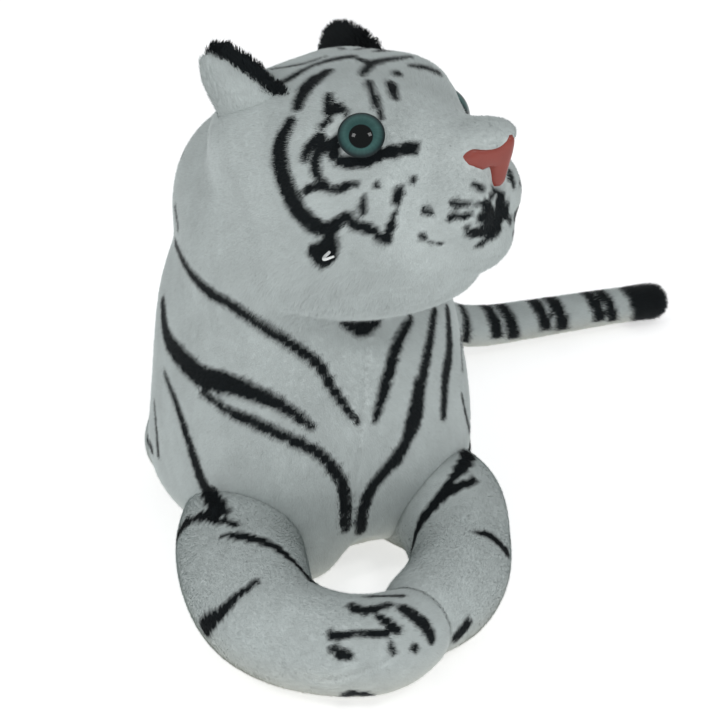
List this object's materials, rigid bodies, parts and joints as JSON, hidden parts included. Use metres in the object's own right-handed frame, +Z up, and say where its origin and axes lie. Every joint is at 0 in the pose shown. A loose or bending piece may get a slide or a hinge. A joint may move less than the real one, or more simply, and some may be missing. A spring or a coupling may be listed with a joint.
{
  "type": "plush tiger",
  "caption": "Plush tiger lying on its belly, head turned to its left, front paws together and tail out to one side; a stuffed toy whose head, ears, limbs and tail flex at their seams.",
  "frame": {"origin": "the middle of the belly's flat rest face, on the surface that the toy lies on", "axes": "+Z up, the toy faces -Y, and its own right side is at -X"},
  "size_m": [0.282, 0.3635, 0.2209],
  "materials": {
    "plush": "short bluish-white pile with near-black stripes",
    "pile_black": "longer near-black pile",
    "stuffing": "loose white fibre",
    "eye": "clear dome over a teal-grey iris and a black pupil",
    "nose": "glossy coral moulding",
    "washer": "plain white",
    "fastener": "thin translucent white"
  },
  "bodies": {
    "torso": {"torso_cover": "plush", "torso_stuffing": "stuffing"},
    "head": {"head_cover": "plush", "head_stuffing": "stuffing", "right_eye": "eye", "left_eye": "eye", "right_eye_washer": "washer", "left_eye_washer": "washer", "nose": "nose", "nose_washer": "washer", "tag_fastener": "fastener"},
    "right_ear": {"right_ear_back": "plush", "right_ear_lining": "pile_black"},
    "left_ear": {"left_ear_back": "plush", "left_ear_lining": "pile_black"},
    "right_arm": {"right_arm_cover": "plush", "right_arm_stuffing": "stuffing"},
    "left_arm": {"left_arm_cover": "plush", "left_arm_stuffing": "stuffing"},
    "right_hind_leg": {"right_hind_leg_cover": "plush", "right_hind_leg_stuffing": "stuffing"},
    "left_hind_leg": {"left_hind_leg_cover": "plush", "left_hind_leg_stuffing": "stuffing"},
    "tail": {"tail_cover": "plush", "tail_stuffing": "stuffing"}
  },
  "joints": [
    {"name": "neck_turn", "type": "hinge", "parent": "torso", "child": "head", "pos_m": [0.008, -0.086, 0.125], "axis": [0, 0, 1], "range_deg": [-20, 20], "stiffness_Nm_per_rad": 0.08},
    {"name": "right_arm_lift", "type": "hinge", "parent": "torso", "child": "right_arm", "pos_m": [-0.02808, -0.147, 0.052], "axis": [-1, 0, 0], "range_deg": [0, 20], "stiffness_Nm_per_rad": 0.08},
    {"name": "left_arm_lift", "type": "hinge", "parent": "torso", "child": "left_arm", "pos_m": [0.04711, -0.147, 0.052], "axis": [-1, 0, 0], "range_deg": [0, 20], "stiffness_Nm_per_rad": 0.08},
    {"name": "right_hind_leg_splay", "type": "hinge", "parent": "torso", "child": "right_hind_leg", "pos_m": [-0.037, 0.03, 0.069], "axis": [0, 1, 0], "range_deg": [0, 15], "stiffness_Nm_per_rad": 0.06},
    {"name": "left_hind_leg_splay", "type": "hinge", "parent": "torso", "child": "left_hind_leg", "pos_m": [0.04, 0.014, 0.069], "axis": [0, -1, 0], "range_deg": [0, 15], "stiffness_Nm_per_rad": 0.06},
    {"name": "tail_swing", "type": "hinge", "parent": "torso", "child": "tail", "pos_m": [0.0625, 0.078, 0.033], "axis": [0, 0, 1], "range_deg": [-20, 20], "stiffness_Nm_per_rad": 0.02},
    {"name": "right_ear_fold", "type": "hinge", "parent": "head", "child": "right_ear", "pos_m": [-0.02736, -0.11539, 0.19606], "axis": [0.874, -0.4298, 0.2266], "range_deg": [0, 12], "stiffness_Nm_per_rad": 0.015},
    {"name": "left_ear_fold", "type": "hinge", "parent": "head", "child": "left_ear", "pos_m": [0.02726, -0.05681, 0.19606], "axis": [-0.4897, 0.8419, -0.2266], "range_deg": [0, 12], "stiffness_Nm_per_rad": 0.015}
  ]
}
